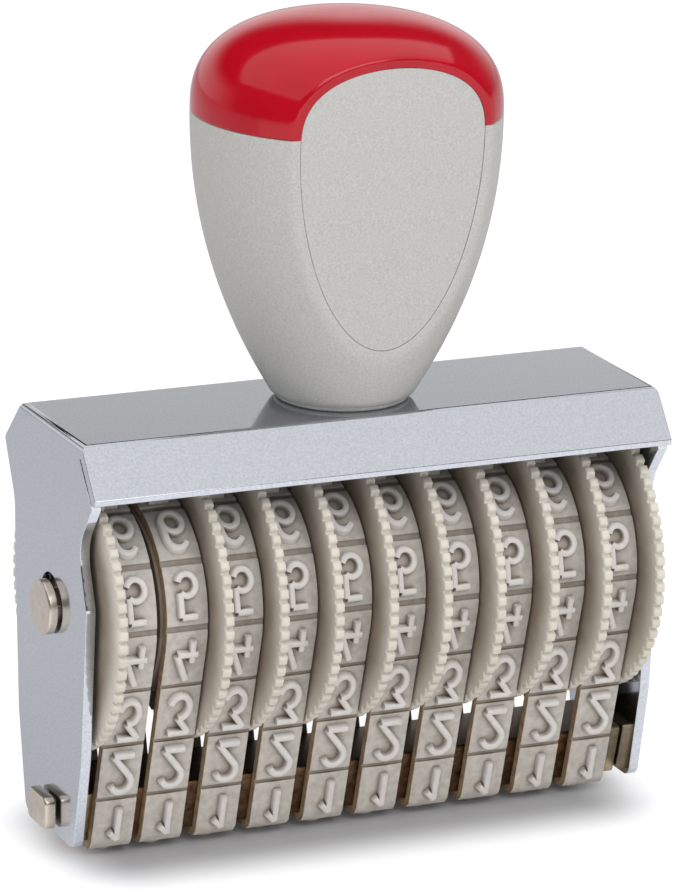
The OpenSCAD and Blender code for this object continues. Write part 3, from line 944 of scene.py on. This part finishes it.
# %% [markdown]
# ## The thumb wheels
# Ten moulded wheels turn freely on the axle. Each is a drum for its band with a thin toothed disc on one
# side. A wheel is modelled once: a ring of points is pulled into teeth and made a disc, and the tips are
# rounded like small pillows. A turned drum is joined to it, the edges are broken, and last the bore for
# the axle is drilled. The copies are turned by a different part of a tooth, as hands leave them, and the
# first one is mirrored because its disc lies on its left.

# %% Model one wheel
TEETH = 66
TOOTH_DEPTH = 0.65
TOOTH_TIP = 0.92
TOOTH_GAP = 0.3
TOOTH_ROUND = 0.2
TIP_ZONE = 0.05
DISC_THICKNESS = 1.05
DRUM_RADIUS = 10.95
DRUM_EDGE = 0.2
DRUM_SINK = 0.3
DRUM_STEPS = 96
WHEEL_EDGE = 0.05
BORE_PLAY = 0.05
DRILL_PAST = 1

wheel_low, wheel_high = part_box("number_wheel_2")
wheel_radius = (wheel_high.z - wheel_low.z) / 2 / MM
wheel_length = (wheel_high.x - wheel_low.x) / MM
drum_length = wheel_length - DISC_THICKNESS
root_radius = wheel_radius - TOOTH_DEPTH


def tooth_corner(index):
    """Radius and angle of one corner of the toothed ring; each tooth has four."""
    step = 2 * math.pi / TEETH
    tip = TOOTH_TIP / wheel_radius / 2
    gap = TOOTH_GAP / root_radius / 2
    corners = (
        (root_radius, gap - step / 2),
        (wheel_radius, -tip),
        (wheel_radius, tip),
        (root_radius, step / 2 - gap),
    )
    radius, angle = corners[index % 4]
    return radius * MM, angle + step * (index // 4)


def tip_edges(mesh):
    """Edges round the tips of the teeth."""
    return edges_among(mesh, lambda place: math.hypot(place.y, place.z) > (wheel_radius - TIP_ZONE) * MM)


def toothed_disc():
    """The disc, upright on the origin, from the end of the drum to the end of the wheel."""
    bpy.ops.object.select_all(action="DESELECT")
    bpy.ops.mesh.primitive_circle_add(vertices=4 * TEETH, radius=wheel_radius * MM, fill_type="NGON")
    disc = bpy.context.object
    disc.name = "toothed_disc"
    for index, vertex in enumerate(disc.data.vertices):
        radius, angle = tooth_corner(index)
        vertex.co = (drum_length * MM, radius * math.cos(angle), radius * math.sin(angle))
    edit(disc)
    pull((DISC_THICKNESS * MM, 0, 0))
    close_skin()
    bevel_edges(disc, tip_edges, TOOTH_ROUND, segments=3)
    return disc


def turned_on_origin(name, outline):
    """A turned piece on the X axis, from places along it and radii in millimetres."""
    return turn_round(draw_line(name, [(x * MM, 0, r * MM) for x, r in outline]), DRUM_STEPS, (1, 0, 0))


def one_wheel():
    """A toothed disc and its drum as one skin, with broken edges and a bore."""
    drum_end = drum_length + DRUM_SINK
    drum_outline = [
        (0, 0),
        (0, DRUM_RADIUS - DRUM_EDGE),
        (DRUM_EDGE, DRUM_RADIUS),
        (drum_end, DRUM_RADIUS),
        (drum_end, 0),
    ]
    drum = turned_on_origin("drum", drum_outline)
    bore = ROD_RADIUS + BORE_PLAY
    start, end = -DRILL_PAST, wheel_length + DRILL_PAST
    drill = turned_on_origin("drill", [(start, 0), (start, bore), (end, bore), (end, 0)])
    wheel = toothed_disc()
    apply_modifier(wheel, "BOOLEAN", object=drum, operation="UNION", solver="EXACT")
    soften(wheel, WHEEL_EDGE, segments=1, angle=50)
    apply_modifier(wheel, "BOOLEAN", object=drill, operation="DIFFERENCE", solver="EXACT")
    for leftover in (drum, drill):
        bpy.data.objects.remove(leftover)
    smooth(wheel, angle=40)
    return wheel


wheel_model = one_wheel()
print("one wheel has", len(wheel_model.data.polygons), "faces")

# %% Place ten wheels
BANDS = 10
SEED = 7

chance = random.Random(SEED)

for number in range(1, BANDS + 1):
    node = f"number_wheel_{number}"
    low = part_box(node)[0]
    wheel = copy_of(wheel_model, f"thumb_wheel_{number}")
    spot = Matrix.Translation((low.x, 0, axle_centre.z))
    part_turn = Matrix.Rotation(chance.uniform(0, 2 * math.pi / TEETH), 4, "X")
    if number == 1:
        mirror = Matrix.Translation((wheel_length * MM, 0, 0)) @ Matrix.Scale(-1, 4, (1, 0, 0))
        wheel.data.transform(spot @ part_turn @ mirror)
        wheel.data.flip_normals()
    else:
        wheel.data.transform(spot @ part_turn)
    dress(wheel, "wheel_plastic", f"wheel_{number}", node)
bpy.data.objects.remove(wheel_model)

# %% [markdown]
# ## Figures
# Each band carries raised figures on moulded blocks. The figures are drawn as a type designer sketches
# them, as strokes along a centre line, and every stroke is swept with one ridge: narrow on top, wide at
# the foot, so that the type comes out of its mould. They are drawn the readable way. Wrapping the strip
# with its face outwards turns them into mirror writing by itself, as on any stamp.

# %% Strokes
WIDE = 1.2
TALL = 2.45


def arc(cx, cy, rx, ry, start, stop, steps):
    """Part of an ellipse, from one angle to another in degrees."""
    angles = [math.radians(start + (stop - start) * k / steps) for k in range(steps + 1)]
    return [(cx + rx * math.cos(a), cy + ry * math.sin(a)) for a in angles]


six_bowl = arc(0, -1.05, WIDE, 1.4, 0, 360, 22)
six_tail = [(-WIDE, -1.05)] + arc(0, 1.0, WIDE, 1.45, 180, 35, 12)
STROKES = {
    "0": [arc(0, 0, WIDE, TALL, 0, 360, 26)],
    "1": [[(0.3, -TALL), (0.3, 1.7)], [(0.3, 1.7), (-0.65, 0.7)]],
    "2": [arc(0, 1.15, WIDE, 1.3, 165, -30, 12) + [(-WIDE, -TALL)], [(-WIDE, -TALL), (WIDE, -TALL)]],
    "3": [
        [(-WIDE, TALL), (WIDE, TALL)],
        [(WIDE, TALL), (-0.15, 0.5)],
        arc(-0.05, -0.95, WIDE, 1.5, 95, -160, 16),
    ],
    "4": [[(0.05, TALL), (-WIDE, -0.8)], [(-WIDE, -0.8), (WIDE, -0.8)], [(0.6, 0.2), (0.6, -TALL)]],
    "5": [
        [(-0.85, TALL), (0.95, TALL)],
        [(-0.85, TALL), (-0.9, -0.35)],
        arc(-0.05, -1.2, 1.1, 1.25, 138, -160, 16),
    ],
    "6": [six_bowl, six_tail],
    "7": [[(-WIDE, TALL), (WIDE, TALL)], [(WIDE, TALL), (-0.4, -TALL)]],
    "8": [arc(0, 1.3, 0.95, 1.15, 0, 360, 20), arc(0, -1.15, WIDE, 1.3, 0, 360, 22)],
    "9": [[(-x, -y) for x, y in six_bowl], [(-x, -y) for x, y in six_tail]],
    "slash": [[(-0.8, -TALL), (0.8, TALL)]],
    "dash": [[(-0.8, 0), (0.8, 0)]],
    "point": [[(0, -1.9), (0, -1.6)]],
    "blank": [],
}
ROUND_THE_BAND = list(STROKES)

# %% Sweep the strokes into ridges
STROKE_STEP = 0.004
RIDGE_SIDE = [(0.47, -0.1), (0.37, 0.58), (0.32, 0.70), (0.20, 0.77), (0.0, 0.78)]
RIDGE_OUTLINE = [(-x, y) for x, y in RIDGE_SIDE] + RIDGE_SIDE[-2::-1]


def as_curve(line):
    """Makes a drawn line a curve."""
    pick(line)
    bpy.ops.object.convert(target="CURVE")
    return bpy.context.object


ridge_points = [(x * MM, y * MM, 0) for x, y in RIDGE_OUTLINE]
ridge_profile = as_curve(draw_line("ridge_profile", ridge_points + ridge_points[:1]))


def swept_stroke(name, stroke, lift):
    """One stroke as a ridge that stands on z = 0, or a little off it."""
    ridge = as_curve(draw_line(name, [(x * MM, y * MM, lift) for x, y in stroke]))
    ridge.data.dimensions = "3D"
    ridge.data.twist_mode = "Z_UP"
    ridge.data.bevel_mode = "OBJECT"
    ridge.data.bevel_object = ridge_profile
    ridge.data.use_fill_caps = True
    pick(ridge)
    bpy.ops.object.convert(target="MESH")
    ridge = bpy.context.object
    edit(ridge)
    close_skin()
    return ridge


def figure(name):
    """All the strokes of one figure; each lies a hair lower than the last, so that no two tops coincide."""
    ridges = [swept_stroke(f"stroke_{name}", s, -STROKE_STEP * MM * k) for k, s in enumerate(STROKES[name])]
    return join(ridges[0], *ridges[1:])


FIGURES = {name: figure(name) for name in ROUND_THE_BAND if STROKES[name]}
tops = [max(v.co.z for v in f.data.vertices) / MM for f in FIGURES.values()]
print("figures:", len(FIGURES), "highest ridge in mm:", round(max(tops), 2), "lowest:", round(min(tops), 2))

# %% [markdown]
# ## The number bands
# A band is an endless rubber web with fourteen blocks. It runs round the drum, straight down both sides
# and under the print bar. The whole band is first modelled flat, as it would be moulded, and then laid
# round that loop in code, because the bend tool needs a window. The web follows the loop by its length. A
# block keeps its walls parallel, so the grooves open up where the band turns over the drum, just as they
# do on the real one.

# %% Measure the loop
BAND_WIDTH = 5.0
WEB = 0.8
BAR_CORNER_Y = 3.5
BAR_CORNER_Z = 2.26
BAR_BEND = 0.46
DRUM_BEND = 11.1
CELLS = len(ROUND_THE_BAND)

axle_height = axle_centre.z / MM
bar_turn = BAR_BEND + WEB / 2
drum_turn = DRUM_BEND + WEB / 2
span = math.hypot(BAR_CORNER_Y, axle_height - BAR_CORNER_Z)
run_lean = math.asin((DRUM_BEND - BAR_BEND) / span) - math.atan2(BAR_CORNER_Y, axle_height - BAR_CORNER_Z)
run_length = math.sqrt(span**2 - (DRUM_BEND - BAR_BEND) ** 2)
corner_arc = bar_turn * (math.pi / 2 - run_lean)
drum_arc = drum_turn * (math.pi / 2 + run_lean)
half_loop = BAR_CORNER_Y + corner_arc + run_length + drum_arc
cell_pitch = 2 * half_loop / CELLS
print("loop in mm:", round(2 * half_loop, 2), "cell:", round(cell_pitch, 3))
print("the straight runs lean by", round(math.degrees(run_lean), 2), "degrees")

# %% Model the flat strip
PLATEAU = 0.22
BAND_GROOVE = 0.45
BLOCK_SINK = 0.15
BLOCK_EDGE = 0.12
WEB_CUTS = 24
BLOCK_CUTS = 12
FACES_END = 0.9
FIGURE_START = 0.1
BAND_FINISHES = ("band_rubber", "band_edge", "band_figure", "band_web")


def flat_plate(name, length, cuts, low, high):
    """A plate of band width, cut across many times so that it can bend."""
    bpy.ops.object.select_all(action="DESELECT")
    bpy.ops.mesh.primitive_grid_add(x_subdivisions=1, y_subdivisions=cuts, size=1)
    plate = bpy.context.object
    plate.name = name
    stretch = Matrix.Diagonal((BAND_WIDTH * MM, length * MM, 1, 1))
    plate.data.transform(Matrix.Translation((0, 0, low * MM)) @ stretch)
    edit(plate)
    pull((0, 0, (high - low) * MM))
    close_skin()
    return plate


def end_faces(mesh):
    """Faces at the two ends of a strip."""
    return [face for face in mesh.polygons if abs(face.normal.y) > FACES_END]


def open_ends(plate):
    """Takes the two end faces off the web, which meet when the strip becomes a loop."""
    edit_chosen(plate, "FACE", end_faces)
    bpy.ops.mesh.delete(type="FACE")
    bpy.ops.mesh.select_mode(type="VERT")
    leave_edit()


def moved_copy(source, y_mm, z_mm):
    """A copy of a piece of the strip, moved along it and up."""
    copy = copy_of(source, "strip_part")
    copy.data.transform(Matrix.Translation((0, y_mm * MM, z_mm * MM)))
    return copy


def flat_strip():
    """The web along Y with its blocks and figures on top; figure 0 lies at the origin."""
    web = flat_plate("web", 2 * half_loop, WEB_CUTS * CELLS, 0, WEB)
    open_ends(web)
    block = flat_plate("block", cell_pitch - BAND_GROOVE, BLOCK_CUTS, WEB - BLOCK_SINK, WEB + PLATEAU)
    soften(block, BLOCK_EDGE, segments=2, angle=30)
    parts = []
    for cell, name in enumerate(ROUND_THE_BAND):
        parts.append(moved_copy(block, -cell * cell_pitch, 0))
        if name in FIGURES:
            parts.append(moved_copy(FIGURES[name], -cell * cell_pitch, WEB + PLATEAU))
    bpy.data.objects.remove(block)
    blocks = join(parts[0], *parts[1:])
    for name in BAND_FINISHES:
        blocks.data.materials.append(FINISHES[name])
    for face in blocks.data.polygons:
        # Painted highlight: the faces of the figures take the paler finish.
        if face.center.z > (WEB + PLATEAU + FIGURE_START) * MM:
            face.material_index = BAND_FINISHES.index("band_figure")
    return web, blocks


flat_web, flat_blocks = flat_strip()
print("the strip has", len(flat_web.data.polygons) + len(flat_blocks.data.polygons), "faces")

# %% Lay a strip round its loop
BLOCK_SEARCH = 6
SEARCH_STEPS = 601
LEVEL_DIGITS = 4
SAME_LEVEL = 1e-4
# The two cells beside the printing face, and the side on which each bends round the bar.
BENDING_SIDE = {1: 1, CELLS - 1: -1}


def loop_place(distance):
    """Place on the web's middle line and the way out, for distances from the printing face, +Y first."""
    d = (np.asarray(distance) + half_loop) % (2 * half_loop) - half_loop
    a = np.abs(d)
    corner = -math.pi / 2 + np.clip(a - BAR_CORNER_Y, 0, corner_arc) / bar_turn
    along = np.clip(a - BAR_CORNER_Y - corner_arc, 0, run_length)
    top = np.clip(a - half_loop + drum_arc, 0, None) / drum_turn
    way = corner + top
    y = np.minimum(a, BAR_CORNER_Y) + bar_turn * np.cos(corner) + along * math.sin(run_lean)
    z = BAR_CORNER_Z + bar_turn * np.sin(corner) + along * math.cos(run_lean)
    over_drum = a > half_loop - drum_arc
    y = np.where(over_drum, drum_turn * np.cos(way), y)
    z = np.where(over_drum, axle_height + drum_turn * np.sin(way), z)
    side = np.where(d < 0, -1.0, 1.0)
    return np.stack([side * y, z], -1), np.stack([side * np.cos(way), np.sin(way)], -1)


def offset_place(distance, height):
    """Place at a height above the web's inner face."""
    spot, out = loop_place(distance)
    return spot + (height - WEB / 2)[..., None] * out


def lay_web(flat, shift):
    """Every point of the web, by its distance along the loop."""
    return offset_place(flat[:, 1] + shift, flat[:, 2])


def lay_blocks(flat, shift):
    """Every point of the blocks: each is square to the loop at its middle, or bends round the print bar."""
    laid = np.zeros((len(flat), 2))
    cells = np.round(-flat[:, 1] / cell_pitch).astype(int)
    for cell in range(CELLS):
        centre = -cell * cell_pitch + shift
        along = centre + np.linspace(-BLOCK_SEARCH, BLOCK_SEARCH, SEARCH_STEPS)
        spot, out = loop_place(np.array([centre]))
        tangent = np.array([-out[0][1], out[0][0]])
        for height in np.unique(np.round(flat[cells == cell, 2], LEVEL_DIGITS)):
            chosen = (cells == cell) & (np.abs(flat[:, 2] - height) < SAME_LEVEL)
            reach = (offset_place(along, np.full(len(along), height)) - spot) @ tangent
            ahead = flat[chosen, 1] - centre + shift
            distance = np.interp(ahead, reach, along)
            if cell in BENDING_SIDE:
                distance = np.where(ahead * BENDING_SIDE[cell] > 0, centre + ahead, distance)
            laid[chosen] = offset_place(distance, np.full(chosen.sum(), height))
    return laid


def laid_copy(name, strip, lay, x_mm, shift):
    """A copy of a flat strip, laid round the loop at its place along the axle."""
    piece = copy_of(strip, name)
    flat = np.empty(len(strip.data.vertices) * 3)
    strip.data.vertices.foreach_get("co", flat)
    flat = flat.reshape(-1, 3) / MM
    laid = np.column_stack([flat[:, 0] + x_mm, lay(flat, shift)]) * MM
    piece.data.vertices.foreach_set("co", laid.ravel())
    piece.data.update()
    edit(piece)
    bpy.ops.mesh.remove_doubles(threshold=MERGE)
    bpy.ops.mesh.flip_normals()
    leave_edit()
    return piece


# %% [markdown]
# The ten bands are alike. Hands never set them all to the same hair, so each is shifted a little round
# its loop. The web between the blocks is painted darker than the blocks as painted shade in the grooves,
# the figures are painted the palest as a painted highlight on the raised type, and the cut sides of a
# band have gone brown, so four finishes are dealt out by where a face lies.

# %% Make ten bands
HAND_SET = 0.5
HAND_SPREAD = 0.2
EDGE_MARGIN = 0.06


def one_band(number, x_mm, shift):
    """A web and its blocks as one piece, with the finishes dealt out."""
    web = laid_copy(f"rubber_band_{number}", flat_web, lay_web, x_mm, 0)
    blocks = laid_copy("blocks", flat_blocks, lay_blocks, x_mm, shift)
    for name in BAND_FINISHES:
        web.data.materials.append(FINISHES[name])
    # Painted shade: the web takes the darker finish, which shades the grooves between the blocks.
    for face in web.data.polygons:
        face.material_index = BAND_FINISHES.index("band_web")
    band = join(web, blocks)
    for face in band.data.polygons:
        if abs(face.center.x / MM - x_mm) > BAND_WIDTH / 2 - EDGE_MARGIN:
            face.material_index = BAND_FINISHES.index("band_edge")
    smooth(band, angle=40)
    return band


for number in range(1, BANDS + 1):
    node = f"number_band_{number}"
    low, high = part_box(node)
    shift = HAND_SET + chance.uniform(-HAND_SPREAD, HAND_SPREAD)
    band = one_band(number, (low.x + high.x) / 2 / MM, shift)
    dress(band, "band_rubber", "stamp", node)
print("one band has", len(band.data.polygons), "faces")
for leftover in (flat_web, flat_blocks, ridge_profile, *FIGURES.values()):
    bpy.data.objects.remove(leftover)

# %% [markdown]
# ## What keeps its solid
# The washers on the axle and the screw, washer and insert that hold the handle are small and mostly
# hidden. Their solids are already true, so they only take a metal finish.

# %% Finish the small solids
SMALL_SOLIDS = {
    "left_washer": "nickel",
    "mid_washer": "nickel",
    "right_washer": "nickel",
    "handle_screw": "nickel",
    "screw_washer": "nickel",
    "handle_insert": "brass",
}
for node, finish in SMALL_SOLIDS.items():
    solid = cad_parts[node]
    solid.data.materials.clear()
    solid.data.materials.append(FINISHES[finish])
print("solids kept:", sorted(SMALL_SOLIDS))
